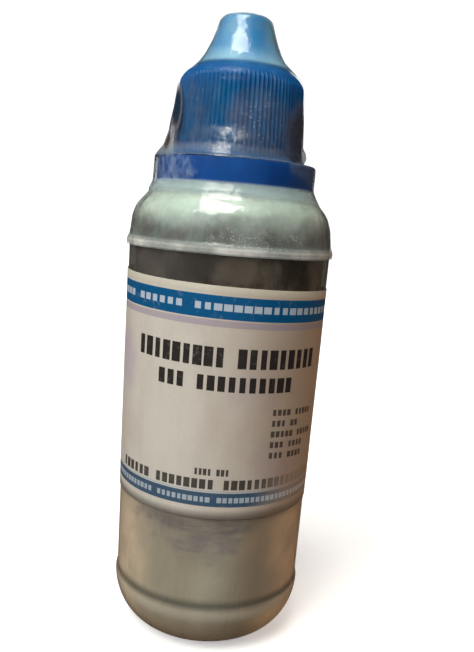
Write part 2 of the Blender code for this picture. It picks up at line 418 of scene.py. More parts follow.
class Surface(Nodes):
    """A material's nodes, with names for places on the bottle."""

    def __init__(self, name):
        self.material = bpy.data.materials.new(name)
        self.material.use_nodes = True
        super().__init__(self.material.node_tree)
        self.tree.nodes.clear()
        self.output = self.tree.nodes.new("ShaderNodeOutputMaterial")
        coordinates = self.tree.nodes.new("ShaderNodeTexCoord")
        self.place = coordinates.outputs["Object"]
        self.uv = coordinates.outputs["UV"]

    def stretched(self, x, y, z):
        return self.node("Mapping", Vector=self.place, Scale=(x, y, z))

    def noise(self, scale, detail=3.0, vector=None):
        """Noise from 0 to 1; scale is in features per metre."""
        where = self.place if vector is None else vector
        return self.node("TexNoise", Vector=where, Scale=scale, Detail=detail, Roughness=0.6)

    def height(self):
        """Millimetres above the foot."""
        return self.times(self.node("SeparateXYZ", "Z", Vector=self.place), 1 / MM)

    def side(self):
        """Millimetres to the right of the axis."""
        return self.times(self.node("SeparateXYZ", "X", Vector=self.place), 1 / MM)

    def front(self):
        """1 on the half that the label's middle faces, 0 on the back half."""
        return self.ramp(self.node("SeparateXYZ", "Y", Vector=self.place), -0.001, -0.004)

    def stain(self, centre, reach, ragged=0.8, scale=110.0, core=0.2, at=None):
        """1 inside a stain round centre, fading to 0 at reach, both (across, up) in millimetres.

        at holds the sockets that measure across and up, if they aren't side() and height().
        """
        side, height = at or (self.side(), self.height())
        across = self.math("DIVIDE", self.minus(side, centre[0]), reach[0])
        up = self.math("DIVIDE", self.minus(height, centre[1]), reach[1])
        edge = self.times(self.minus(self.noise(scale, 5.0), 0.5), 2 * ragged)
        away = self.plus(self.times(across, across), self.times(up, up), edge)
        return self.ramp(away, 1.0, core)

    def specks(self, scale, share, size):
        """Small scattered dots: 1 inside a dot. share is how many of the cells hold one."""
        cells = self.tree.nodes.new("ShaderNodeTexVoronoi")
        self.feed(cells.inputs["Vector"], self.place)
        cells.inputs["Scale"].default_value = scale
        chance = self.node("SeparateColor", "Red", Color=cells.outputs["Color"])
        chosen = self.math("LESS_THAN", chance, share)
        return self.times(chosen, self.ramp(cells.outputs["Distance"], size, size * 0.5))

    def sheen(self, ior, normal):
        """Fresnel reflection that is the same from both sides of a thin wall."""
        behind = self.node("NewGeometry", "Backfacing")
        return self.node("Fresnel", IOR=self.plus(ior, self.times(behind, 1 / ior - ior)), Normal=normal)

    def finish(self, shader):
        self.tree.links.new(shader, self.output.inputs["Surface"])
        return self.material


def panel_tint(s, z):
    """The tan wall over dark liquid, with a stain low on the front. It is warmer at the sides and foot, where
    a warm reflection is painted, and it holds painted shade under the label's lower edge and a painted shadow
    and a painted highlight at the heel step.
    """
    side = s.side()
    streaks = s.ramp(s.noise(150.0, 3.0, s.stretched(1.0, 1.0, 0.15)), 0.3, 0.75)
    dingy = s.ramp(s.noise(115.0, 7.0), 0.38, 0.66, 0.0, 0.4)
    scratched = s.ramp(s.noise(260.0, 6.0, s.stretched(0.35, 0.35, 1.6)), 0.4, 0.6, 0.3, 1.0)
    stained = s.times(s.stain((-3.0, 32.0), (14.0, 9.0), 1.2, 190.0), scratched)
    shadowed = s.times(s.stain((0.0, 34.5), (17.0, 4.5), 0.9, 190.0), scratched)
    return s.layered(
        s.mix(streaks, (0.33, 0.295, 0.215), (0.40, 0.37, 0.28)),
        # Painted warm reflection: the sides lighter and warmer
        (s.ramp(side, 3.0, 11.0), (0.34, 0.25, 0.165)),
        (s.ramp(side, 11.0, 19.0), (0.74, 0.52, 0.335)),
        (s.ramp(side, -9.5, -19.0), (0.62, 0.50, 0.36)),
        (dingy, (0.25, 0.225, 0.185)),
        (s.times(stained, 0.85), (0.19, 0.165, 0.175)),
        (s.times(shadowed, 0.5), (0.14, 0.125, 0.10)),
        # Painted warm reflection low down: a warmer foot, brightest at the lower right
        (s.ramp(z, 12.0, 3.0, 0.0, 0.5), (0.54, 0.36, 0.21)),
        (s.times(s.ramp(z, 13.0, 8.0), s.ramp(side, 8.0, 17.0)), (0.95, 0.66, 0.36)),
        # Painted shadow under the heel step, and a painted highlight on the lip below it
        (s.times(s.within(z, STEP_SHADE), 0.85), (0.10, 0.095, 0.075)),
        (s.times(s.within(z, STEP_HIGHLIGHT), 0.5), (0.60, 0.55, 0.44)),
    )


def wall_tint(s, z, lower, over_air):
    """What the wall scatters: tan low down, with a painted warm reflection at its sides and foot, grime
    above, residue from the ridge up, green over air.
    """
    grime = s.layered(
        s.mix(s.ramp(s.noise(110.0, 6.0), 0.42, 0.6), (0.14, 0.115, 0.085), (0.50, 0.42, 0.33)),
        (s.ramp(s.side(), 4.0, -14.0, 0.0, 0.5), (0.46, 0.44, 0.45)),
    )
    mottled = s.ramp(s.noise(170.0, 6.0), 0.35, 0.7)
    residue = s.mix(mottled, (0.36, 0.43, 0.41), (0.21, 0.18, 0.14))
    dulled = s.times(s.plus(s.ramp(s.math("ABSOLUTE", s.side()), 11.0, 20.0), mottled), 0.3)
    return s.layered(
        s.mix(lower, grime, panel_tint(s, z)),
        (s.ramp(z, PANEL_TOP, PANEL_TOP + 2.0), residue),
        (over_air, s.mix(dulled, (0.61, 0.76, 0.645), (0.73, 0.74, 0.67))),
    )


def polythene():
    """Natural polythene scatters light that goes through it: pale over air, dark over dark liquid."""
    s = Surface("natural_polythene")
    z = s.height()
    drift = s.noise(90.0, 4.0)
    cloud = s.ramp(drift, 0.35, 0.7)
    over_air = s.ramp(s.plus(z, s.times(drift, 9.0)), LIQUID.top + 2.7, LIQUID.top + 8.4)
    above_ridge = s.times(s.ramp(z, PANEL_TOP, PANEL_TOP + 1.2), 0.16)
    lower = s.ramp(s.plus(z, s.times(drift, 10.0)), 60.0, 34.0)

    milk = s.plus(0.13, s.times(lower, 0.62), above_ridge, s.times(over_air, 0.46), s.times(cloud, 0.06))
    scratches = s.noise(160.0, 6.0, s.stretched(1.0, 1.0, 0.12))
    grain = s.bumped(s.plus(s.noise(700.0, 2.0), s.times(scratches, 0.6)), 0.00005, 0.6)
    glow = s.mix(over_air, (0.16, 0.14, 0.12), (0.72, 0.80, 0.72))
    through = s.node("BsdfTranslucent", Color=glow, Normal=grain)
    clear = s.node("BsdfTransparent", Color=(0.85, 0.90, 0.85))
    body = s.node("BsdfDiffuse", Color=wall_tint(s, z, lower, over_air), Normal=grain)
    wall = s.shader_mix(milk, s.shader_mix(s.plus(0.20, s.times(over_air, 0.16)), through, clear), body)
    rough = s.ramp(scratches, 0.3, 0.8, 0.24, 0.42)
    gloss = s.node("BsdfGlossy", Color=(1.0, 1.0, 1.0), Roughness=rough, Normal=grain)
    return s.finish(s.shader_mix(s.sheen(1.45, grain), wall, gloss))


def inner_skin():
    """The wall's inner face, which the outer face's own scattering already accounts for."""
    s = Surface("wall_inner_face")
    clear = s.node("BsdfTransparent", Color=(0.97, 0.98, 0.97))
    haze = s.node("BsdfDiffuse", Color=(0.7, 0.74, 0.7))
    return s.finish(s.shader_mix(s.ramp(s.noise(200.0), 0.3, 0.8, 0.0, 0.06), clear, haze))


def solution():
    s = Surface("indicator_solution")
    swirl = s.noise(60.0, 3.0)
    colour = s.mix(s.ramp(swirl, 0.3, 0.7), (0.020, 0.018, 0.014), (0.040, 0.034, 0.032))
    rough = s.ramp(swirl, 0.2, 0.8, 0.1, 0.3)
    return s.finish(s.node("BsdfPrincipled", Base_Color=colour, Roughness=rough, IOR=1.34))


def blue_plastic(name, deep, pale, roughness, dust):
    """Coloured moulded plastic with faint flow lines and dry dust. The cap's thin cone glows paler."""
    s = Surface(name)
    flow = s.noise(220.0, 4.0, s.stretched(1.0, 1.0, 0.15))
    powder = s.times(s.ramp(s.noise(340.0, 6.0), 0.5, 0.8), dust)
    dusty = s.layered(
        s.mix(s.ramp(flow, 0.25, 0.8), deep, pale),
        (s.ramp(s.height(), CONE_FOOT, CONE_FOOT + 1.5, 0.0, 0.75), (0.005, 0.20, 0.50)),
        (s.times(s.within(s.height(), CAP_RIM), 0.55), (0.0, 0.080, 0.30)),
        (s.plus(powder, s.times(s.specks(900.0, 0.12, 0.35), dust)), (0.30, 0.33, 0.40)),
    )
    grain = s.bumped(s.noise(1500.0, 3.0), 0.00003, 0.5)
    rough = s.plus(roughness, s.times(flow, 0.1), s.times(powder, 0.4))
    shader = s.node(
        "BsdfPrincipled", Base_Color=dusty, Roughness=rough, IOR=1.46, Normal=grain, Specular_IOR_Level=0.25,
    )
    return s.finish(shader)


def film_marks(s, z, patch, streak):
    """How much each kind of dust, scuff, haze or drop covers the film, by name, and where light or shade is
    painted on it: painted fill light in the gap under the cap and on the cone's right, a painted highlight on
    the cone, painted shade in the left fold and at the cap's right, and a painted reflection in the dust
    where it bridges.
    """
    side = s.side()
    bloom = s.times(s.stain((4.3, 116.3), (7.6, 7.0), 1.2, 170.0), s.plus(0.035, s.times(patch, 0.08)))
    at_left = s.times(s.stain((-8.5, 116.5), (4.5, 7.5), 1.0, 150.0), s.plus(0.010, s.times(streak, 0.042)))
    dust = s.times(s.within(z, ON_SKIRT), s.plus(bloom, at_left, s.times(streak, 0.02)))
    rubbed = s.ramp(s.noise(620.0, 6.0, s.stretched(1.0, 1.0, 0.6)), 0.32, 0.72, 0.02, 0.28)
    scuff = s.times(s.within(z, ON_RING), s.stain((-13.0, 106.5), (6.0, 3.4), 0.9, 520.0), rubbed)

    # Painted highlight: a paler band left of the cone's middle, along the window's streak; the paler right
    # flank past 2.5 mm is painted fill light
    left_of_cone = s.times(s.within(side, LEFT_OF_CONE), s.plus(0.07, s.times(streak, 0.06)))
    over_cone = s.plus(0.02, s.times(patch, 0.09), left_of_cone, s.ramp(side, 2.5, 6.0, 0.0, 0.07))
    on_cone = s.plus(s.times(s.ramp(z, 127.2, 128.2), over_cone), s.times(s.within(z, FOOT_OF_CONE), 0.12))
    on_shoulder = s.times(s.ramp(z, 104.4, 103.0), s.plus(0.04, s.times(patch, 0.10), s.times(streak, 0.05)))

    bead = s.times(s.ramp(z, RIDGE_TOP + 0.5, RIDGE_TOP), s.plus(0.10, s.times(patch, 0.12)))
    line = s.ramp(s.math("ABSOLUTE", s.minus(z, RIDGE_TOP - 0.85)), 0.75, 0.25)
    edge = s.ramp(z, FILM.bottom - 0.1, FILM.bottom + 0.5, 0.2, 1.0)
    near_ridge = s.stain((5.0, 93.9), (13.0, 2.7))
    on_right = s.stain((4.0, 116.0), (8.0, 6.5))
    # Painted shade in the left fold's crease
    upper_fold = s.stain((-13.1, 118.5), (1.4, 5.4), 0.2)
    lower_fold = s.stain((-14.8, 112.4), (1.0, 2.8), 0.3)
    return FilmMarks(
        even=s.plus(0.004, dust, scuff, on_cone, on_shoulder),
        under_ring=s.times(s.within(z, UNDER_RING), 0.42),
        # Painted fill light in the shaded gap between ring and cap
        tucked=s.times(s.within(z, GAP_FILL_LIGHT), 0.37),
        ridge=s.times(s.plus(bead, s.times(line, s.plus(0.22, s.times(patch, 0.32)))), edge),
        droplets=s.times(s.specks(2600.0, 0.42, 0.36), near_ridge, 0.62),
        flecks=s.times(s.specks(2500.0, 0.20, 0.40), s.plus(on_right, 0.04), 0.42),
        # Dust where the film bridges, with a painted reflection of the blue cap in it
        bridging=s.times(s.ramp(side, -12.0, -14.0), s.within(z, BRIDGED)),
        # Painted shade over the cap's right side
        crumple=s.times(s.stain((14.2, 114.0), (5.6, 9.5), 0.7, 150.0), 0.30),
        fold=s.times(s.largest(upper_fold, lower_fold), s.front()),
    )


def film_colour(s, z, marks):
    """The colour of whatever covers the film at each place, and of the light and shade painted on it."""
    # Painted shade in the left fold: brown low down, dark blue higher up
    fold = s.mix(s.ramp(z, 113.0, 117.0), (0.060, 0.040, 0.030), (0.008, 0.026, 0.055))
    return s.layered(
        s.mix(s.within(z, ON_SKIRT), (0.50, 0.55, 0.53), (0.34, 0.31, 0.40)),
        (s.ramp(z, 127.0, 128.2), (0.45, 0.78, 0.90)),
        (s.times(marks.under_ring, 1.6), (0.30, 0.44, 0.46)),
        (s.within(z, ON_RING), (0.34, 0.46, 0.66)),
        # Painted fill light: blue laid over the shaded gap under the cap
        (s.capped(s.times(marks.tucked, 2.4)), (0.030, 0.11, 0.29)),
        (s.capped(s.times(marks.flecks, 2.0)), (0.35, 0.58, 0.85)),
        # Painted shade at the cap's right, near black
        (s.times(marks.crumple, 2.6), (0.022, 0.019, 0.018)),
        (s.largest(marks.droplets, marks.ridge), (0.67, 0.64, 0.60)),
        # Partly dust, partly a painted reflection of the blue cap
        (s.times(marks.bridging, 0.8), (0.20, 0.23, 0.25)),
        (marks.fold, fold),
    )


def shrink_film():
    """Thin clear film: glossy, dusty over the cap, dull where it bridges, pale along its bead, with painted
    light and shade on the cap and cone.
    """
    s = Surface("clear_film")
    z = s.height()
    patch = s.ramp(s.noise(150.0, 5.0), 0.38, 0.72)
    streak = s.ramp(s.noise(420.0, 5.0, s.stretched(1.0, 1.0, 0.12)), 0.45, 0.75)
    marks = film_marks(s, z, patch, streak)
    bridged = s.times(marks.bridging, s.plus(0.34, s.times(streak, 0.16)))
    # The haze holds painted fill light under the cap and painted light on the cone; the cover adds painted
    # shade in the left fold and at the cap's right
    haze_with_painted_light = s.plus(marks.even, marks.tucked, marks.under_ring, marks.ridge, bridged)
    haze = s.capped(s.plus(haze_with_painted_light, marks.droplets, marks.flecks), 0.9)
    cover = s.largest(haze, s.times(marks.fold, 0.85), marks.crumple)

    ripple = s.plus(s.noise(130.0, 3.0), s.times(s.noise(380.0, 2.0, s.stretched(1.0, 1.0, 0.5)), 0.2))
    soft = s.bumped(ripple, 0.0010, 0.5)
    clear = s.node("BsdfTransparent", Color=(0.97, 0.98, 0.98))
    dull = s.node("BsdfDiffuse", Color=film_colour(s, z, marks), Normal=soft)
    low_on_cap = s.within(z, LOW_ON_CAP)
    rough = s.plus(0.18, s.times(low_on_cap, 0.12))
    gloss = s.node("BsdfGlossy", Color=(1.0, 1.0, 1.0), Roughness=rough, Normal=soft)
    broken = s.ramp(s.noise(300.0, 2.0, s.stretched(1.0, 1.0, 1.6)), 0.38, 0.58, 0.65, 1.25)
    wrinkled = s.ramp(s.noise(330.0, 2.0, s.stretched(1.0, 1.0, 0.6)), 0.35, 0.62, -0.9, 0.6)
    broken = s.plus(broken, s.times(low_on_cap, wrinkled))
    on_bead = s.ramp(z, RIDGE_TOP + 1.0, RIDGE_TOP, 0.0, 0.7)
    duller = s.plus(s.times(s.within(z, CLINGING), 0.9), on_bead)
    shine = s.times(s.sheen(1.45, soft), broken, s.minus(1.0, duller))
    return s.finish(s.shader_mix(shine, s.shader_mix(cover, clear, dull), gloss))


# A line of print: its start and base, the pitch, number and height of its blocks, and the two left out
PrintLine = namedtuple("PrintLine", "start base pitch count height gap_1 gap_2")
NO_GAP = -5  # no block has this number


def print_line_group():
    """Greeked print: a row of plain blocks with up to two word gaps. It reads nothing and spells nothing."""
    group = bpy.data.node_groups.new("print_line", "ShaderNodeTree")
    for name in ("Across", "Up", *PrintLine._fields, "seed"):
        group.interface.new_socket(name, in_out="INPUT", socket_type="NodeSocketFloat")
    group.interface.new_socket("Ink", in_out="OUTPUT", socket_type="NodeSocketFloat")
    given = group.nodes.new("NodeGroupInput").outputs
    result = group.nodes.new("NodeGroupOutput")
    n = Nodes(group)
    cell = n.math("DIVIDE", n.minus(given["Across"], given["start"]), given["pitch"])
    index = n.math("FLOOR", cell)
    up = n.math("DIVIDE", n.minus(given["Up"], given["base"]), given["height"])
    chance = n.node("TexWhiteNoise", "Value", {"noise_dimensions": "1D"}, W=n.plus(index, given["seed"]))
    off_middle = n.math("ABSOLUTE", n.minus(n.math("FRACT", cell), 0.5))
    off_centre = n.math("ABSOLUTE", n.minus(up, 0.5))
    half_block = n.plus(0.28, n.times(chance, 0.15))
    ink = n.times(
        n.math("LESS_THAN", off_middle, half_block),
        n.math("LESS_THAN", off_centre, 0.5),
        n.math("GREATER_THAN", index, -0.5),
        n.math("LESS_THAN", index, given["count"]),
    )
    for gap in ("gap_1", "gap_2"):
        ink = n.times(ink, n.math("GREATER_THAN", n.math("ABSOLUTE", n.minus(index, given[gap])), 0.4))
    group.links.new(ink, result.inputs["Ink"])
    return group


# Measured down from the top edge, so each base is below its line
UPPER_BAND = (-6.5, -1.9)
MAUVE_RULE = (-8.1, -6.8)
TOP_BLACK = [
    PrintLine(-20.2, -16.3, 2.33, 19, 4.1, 9, NO_GAP),
    PrintLine(-14.0, -21.3, 2.2, 14, 3.2, 3, NO_GAP),
]
TOP_WHITE = [PrintLine(-64.0, -4.85, 2.05, 63, 1.4, 20, 27)]
# Measured up from the bottom edge
LOWER_BAND = (2.85, 6.0)
BLUE_RULE = (6.25, 6.45)
BOTTOM_BLACK = [
    PrintLine(-4.2, 9.9, 0.95, 8, 1.5, 4, NO_GAP),
    PrintLine(-25.4, 6.8, 1.72, 32, 2.2, 6, 15),
]
BOTTOM_WHITE = [PrintLine(-64.0, 3.8, 1.25, 104, 1.2, 40, 51)]
SIDE_WORDS = ((8, 3), (8, 3), (11, 5), (6, 3), (10, 4))
SIDE_LEFT = 12.0
SIDE_FALL = 0.07  # how far the side lines fall for each millimetre to the right
SIDE_BLACK = [
    PrintLine(SIDE_LEFT, 13.5 + 2.4 * row, 1.35, count, 1.35, gap, NO_GAP)
    for row, (count, gap) in enumerate(SIDE_WORDS)
]


def paper_colour(s, at, down, fibre):
    """Worn paper that turns darker and browner to the right, with faint purple smudges, before anything is
    printed on it.
    """

    def spot(x, y, reach_x, reach_y):
        return s.stain((x, y), (reach_x, reach_y), scale=140.0, core=0.1, at=at)

    smudge = s.ramp(s.noise(75.0, 6.0), 0.45, 0.75)
    rubbed = s.ramp(s.noise(280.0, 6.0, s.stretched(1.0, 1.0, 0.25)), 0.42, 0.68, 0.0, 0.16)
    upper_spot = s.times(spot(8.0, 28.0, 9.0, 6.0), 0.5)
    lower_spot = s.times(spot(15.0, 12.0, 9.0, 7.0), 0.8)
    purple = s.largest(spot(-27.0, 31.0, 7.0, 9.0), upper_spot, lower_spot)
    darker_to_right = s.ramp(s.plus(at[0], s.times(s.noise(80.0), 12.0)), -4.0, 30.0, 0.0, 0.8)
    return s.layered(
        s.mix(s.ramp(fibre, 0.2, 0.8), (0.482, 0.455, 0.405), (0.528, 0.50, 0.45)),
        (s.times(smudge, 0.4), (0.41, 0.355, 0.345)),
        (rubbed, (0.33, 0.30, 0.27)),
        (s.times(purple, 0.6), (0.39, 0.335, 0.41)),
        (darker_to_right, (0.33, 0.22, 0.145)),
        (s.ramp(down, -2.2, -1.2, 0.0, 0.65), (0.30, 0.28, 0.23)),
    )


def label_print():
    """Stained paper that turns darker and browner to the right, with two blue bands, a mauve rule and greeked
    print.
    """
    s = Surface("label_paper")
    group = print_line_group()
    across = s.times(s.node("SeparateXYZ", "X", Vector=s.uv), UV_UNIT)
    up = s.times(s.node("SeparateXYZ", "Y", Vector=s.uv), UV_UNIT)
    down = s.minus(s.minus(up, LABEL_HEIGHT), s.times(across, LABEL_SKEW))
    tilted = s.plus(up, s.times(s.minus(across, SIDE_LEFT), SIDE_FALL))

    def lines(rows, height):
        """1 where any of the rows has ink."""
        inked = []
        for number, row in enumerate(rows):
            made = s.tree.nodes.new("ShaderNodeGroup")
            made.node_tree = group
            given = {"Across": across, "Up": height, "seed": 37.0 * number + row.pitch, **row._asdict()}
            for name, value in given.items():
                s.feed(made.inputs[name], value)
            inked.append(made.outputs[0])
        return s.largest(*inked)

    def band(height, edges):
        return s.times(s.math("GREATER_THAN", height, edges[0]), s.math("LESS_THAN", height, edges[1]))

    fade = s.ramp(s.plus(across, s.times(up, -0.35), s.times(s.noise(120.0), 10.0)), 8.0, 24.0, 0.92, 0.22)
    worn = s.ramp(s.noise(900.0, 4.0), 0.25, 0.45, 0.86, 1.0)
    fibre = s.noise(2500.0, 3.0)
    white = s.largest(s.times(lines(TOP_WHITE, down), 0.62), s.times(lines(BOTTOM_WHITE, up), 0.5))
    lower_lines = s.times(lines(BOTTOM_BLACK, up), fade)
    black = s.largest(lines(TOP_BLACK, down), lower_lines, s.times(lines(SIDE_BLACK, tilted), 0.85))
    ink = s.times(black, worn)
    colour = s.layered(
        paper_colour(s, (across, up), down, fibre),
        (s.times(band(down, MAUVE_RULE), 0.6), (0.24, 0.20, 0.28)),
        (s.times(band(down, UPPER_BAND), worn), (0.0, 0.072, 0.195)),
        (s.times(band(up, LOWER_BAND), worn, fade), (0.0, 0.045, 0.105)),
        (s.times(band(up, BLUE_RULE), fade, 0.6), (0.12, 0.28, 0.50)),
        (s.times(white, worn), (0.60, 0.66, 0.70)),
        (ink, (0.022, 0.018, 0.017)),
    )
    soft = s.bumped(s.plus(s.noise(110.0, 2.0), s.times(fibre, 0.02), s.times(ink, -0.02)), 0.0008, 0.25)
    rough = s.plus(0.5, s.times(s.noise(300.0), 0.15), s.times(ink, -0.08))
    shader = s.node("BsdfPrincipled", Base_Color=colour, Roughness=rough, Specular_IOR_Level=0.2, Normal=soft)
    return s.finish(shader)


def studio_paper():
    """Pale paper, lit from within where it is too far away for the lights to reach."""
    s = Surface("studio_backdrop")
    tone = s.mix(s.ramp(s.noise(6.0, 2.0), 0.3, 0.7), (0.90, 0.91, 0.92), (0.93, 0.935, 0.94))
    across = s.node("VectorMath", "Value", {"operation": "LENGTH"}, Vector=s.place)
    glow = s.ramp(across, 0.1, 1.0, 0.35, 0.95)
    shader = s.node(
        "BsdfPrincipled", Base_Color=tone, Roughness=0.9, Specular_IOR_Level=0.1,
        Emission_Color=(0.98, 0.99, 1.0), Emission_Strength=glow,
    )
    return s.finish(shader)


# ---------------------------------------------------------------- pieces

SHOULDER = flowing([
    (12.6, SHOULDER_TOP), (15.6, 103.3), (17.8, 102.1), (20.6, 99.1), (21.65, 96.1), (22.15, 93.1),
])
PANEL_R = BOTTLE.radius - 0.4
FOOT_R = 12.9
FOOT_INNER_R = 9.5
PUSH_UP = 1.5
NECK_R = 10.55
NECK_BORE_R = 9.05


def lower_section(foot_r, heel_r, floor, panel_r, push_up):
    """From the panel's top down to the middle of the base."""
    step = PANEL_BOTTOM - 0.5
    heel = arc((foot_r, step), (heel_r - foot_r, step - floor), 0, -90, 22)
    middle = [(FOOT_INNER_R, floor), (FOOT_INNER_R - 1.0, floor + 0.6 * push_up), (0.0, floor + push_up)]
    return [(panel_r, PANEL_TOP), (panel_r, PANEL_BOTTOM)] + heel + middle


def make_bottle():
    bead = [(NECK_R, 108.4), (12.3, 107.1), (12.3, 106.2), (NECK_R, 106.1), (NECK_R, 104.8)]
    neck = [(NECK_R, BOTTLE.top)] + bead
    ridge = [(22.2, RIDGE_TOP + 0.3), (22.5, RIDGE_TOP - 0.3), (22.6, 91.1), (22.5, 90.6)]
    lower = lower_section(FOOT_R, BOTTLE.radius, 0.0, PANEL_R, PUSH_UP)
    outside = rounded(neck + SHOULDER + ridge + lower, 0.8)
    inner_shoulder = [p for p in inset(SHOULDER, WALL) if p[0] > NECK_BORE_R + 1.0]
    inside = [(NECK_BORE_R, BOTTLE.top), (NECK_BORE_R, 103.6)] + inner_shoulder
    inside += lower_section(FOOT_R, BOTTLE.radius - WALL, WALL, PANEL_R - WALL, PUSH_UP)
    inside = rounded(inside, 0.8)
    section = inside[::-1] + outside
    bm = lathe(section, second_slot=range(len(inside) - 1))
    bottle = object_from(bm, "bottle", [polythene(), inner_skin()])
    join(bottle, helix(NECK_R - THREAD_SUNK, 11.4, 112.4, 1.75))
    place(bottle, "bottle", "bottle_body")


def make_liquid():
    top = LIQUID.top
    surface = [(0.0, top - 0.3), (18.0, top - 0.3), (20.0, top + 0.2)]
    wall = [(20.9, 92.4)]
    gap = WALL + LIQUID_GAP
    lower = lower_section(FOOT_R, BOTTLE.radius - gap, gap, LIQUID.radius - 0.3, PUSH_UP)
    liquid = object_from(lathe(surface + wall + lower), "liquid", [solution()])
    place(liquid, "bottle", "indicator_liquid")


def make_plug():
    tip = [(0.8, PLUG.top - 0.3), (2.2, PLUG.top), (2.7, PLUG.top - 0.4)]
    nozzle = tip + [(3.4, 131.4), (4.5, 128.7), (5.5, 126.0), (6.2, 124.3)]
    flange = [(10.5, 124.3), (10.5, PLUG.bottom + 9.9), (8.4, PLUG.bottom + 9.9)]
    beads = [(8.4 + lift, z + dz) for z in (120.0, 116.5) for lift, dz in ((0, 0.5), (0.32, 0), (0, -0.5))]
    inside = [(8.1, PLUG.bottom), (7.2, PLUG.bottom), (7.2, 122.2), (5.0, 123.4), (4.2, 125.0)]
    orifice = [(3.2, 128.3), (2.0, 131.0), (0.8, 132.3)]
    section = rounded(nozzle + flange + beads + inside + orifice, 0.35, closed=True)
    s = Surface("dropper_polythene")
    cloud = s.ramp(s.noise(250.0, 3.0), 0.3, 0.7)
    colour = s.mix(cloud, (0.74, 0.78, 0.76), (0.82, 0.85, 0.83))
    grain = s.bumped(s.noise(1200.0, 3.0), 0.00003, 0.5)
    shader = s.node(
        "BsdfPrincipled", Base_Color=colour, Roughness=s.ramp(cloud, 0, 1, 0.3, 0.4), Normal=grain,
        Subsurface_Weight=0.4, Subsurface_Scale=0.002,
    )
    plug = object_from(lathe(section, 96, closed=True), "plug", [s.finish(shader)])
    place(plug, "bottle", "dropper_plug")


CONE_TOP = flowing([(3.5, CAP.top), (4.6, CAP.top - 0.3), (5.3, CAP.top - 1.0), (5.8, CAP.top - 2.5)])
CONE_FLARE = flowing([(6.8, 132.3), (8.0, 130.0), (9.3, 128.2), (10.4, 127.1)])
CONE = CONE_TOP + CONE_FLARE
ROUNDING = flowing([(10.9, 126.75), (11.6, 126.35), (12.35, 125.6), (12.75, 124.7), (SKIRT_TOP_R, SKIRT_TOP)])
SKIRT = ROUNDING + [(SKIRT_FOOT_R, SKIRT_FOOT)]


def rib_warp(r, z, angle):
    """Ribs stand on the skirt and die out in the rounding above it and just over its lower edge."""
    if r < CAP_BORE_R + 0.2:
        return r
    crest = max(0.0, math.cos(angle * RIB_COUNT)) ** 0.7
    return r + RIB_PROUD * crest * within(z, (110.0, 110.7, 124.2, 125.8))


def make_cap():
    foot = rounded([SKIRT[-2], SKIRT[-1], (13.5, CAP.bottom), (CAP_BORE_R, CAP.bottom)], 0.35)
    bore = [(CAP_BORE_R, CAP.bottom), (CAP_BORE_R, 124.6), (9.3, 124.6), (9.0, 126.2)]
    hollow = [(7.6, 128.5), (6.5, 130.6), (5.5, 132.9), (4.6, 135.1), (3.6, 136.2)]
    pin = [(2.0, 136.3), (2.0, 134.0), (0.5, 134.0), (0.5, 133.1)]
    outside = [(0.0, CAP.top)] + CONE + ROUNDING[:-1] + dense(foot, 1.2)
    section = outside + rounded(bore + hollow + pin, 0.3)[1:] + [(0.0, 132.9)]
    ribbed = lathe(section, RIB_COUNT * 6, warp=rib_warp)
    plastic = blue_plastic("blue_cap_plastic", (0.0, 0.040, 0.14), (0.0, 0.100, 0.255), 0.36, 0.12)
    cap = object_from(ribbed, "cap", [plastic], sharp_deg=55)
    join(cap, helix(CAP_BORE_R + THREAD_SUNK, 10.9, 110.8, 1.5))
    place(cap, "cap", "screw_cap")


def make_ring():
    bottom, top, radius = RING.bottom, RING_TOP, RING.radius
    wall = 1.2
    inner_r, collar_r = 12.75, 13.75
    section = [
        (radius, top), (radius, bottom), (radius - wall, bottom), (radius - wall, top - wall),
        (collar_r, top - wall), (collar_r, bottom + 0.25), (inner_r, bottom + 0.25), (inner_r, top),
    ]
    ring_bm = lathe(rounded(section, 0.35, closed=True), closed=True)
    plastic = blue_plastic("blue_ring_plastic", (0.0, 0.050, 0.255), (0.0, 0.072, 0.315), 0.38, 0.03)
    ring = object_from(ring_bm, "ring", [plastic])
    catches = blocks(BRIDGE_COUNT, (1.35, 3.0, 0.85), (12.575, bottom + 0.7), 0.0)
    stubs = blocks(BRIDGE_COUNT, (0.7, 0.9, 1.0), (13.35, top), TURN / (2 * BRIDGE_COUNT))
    join(ring, catches)
    join(ring, stubs)
    place(ring, "ring", "tamper_ring")


# The film between cap and ring where it clings, and its line from cap to shoulder where it bridges them
WAIST = [(14.2, 111.5), (14.4, 111.0), (14.45, SKIRT_FOOT), (14.9, 109.3), (16.4, 109.1)]
BRIDGE_FOOT = 102.2
BRIDGE = [(13.6, SKIRT_TOP), (14.2, 119.0), (15.1, 114.5), (16.1, 111.5), (17.7, 109.1), (17.9, 104.1)]
BRIDGE += [(18.7, BRIDGE_FOOT)]


# Lumps in the film: how far each stands out, its middle's angle, its half width and its span of heights
Lump = namedtuple("Lump", "depth centre half_width span")
LUMPS = [
    Lump(0.7, -6, 11, (109.4, 110.8, 111.6, 113.2)),
    Lump(-0.5, 190, 10, (110.0, 112.0, 114.0, 117.0)),
    Lump(0.5, -20, 45, (124.5, 126.4, 127.5, 129.5)),
]


def crease(angle, z, seed):
    """Smooth folds, about 1 high, that run mostly up and down."""
    where = Vector((math.cos(angle) * 3.2, math.sin(angle) * 3.2, z * 0.07 + seed))
    return noise.noise(where) * 1.6


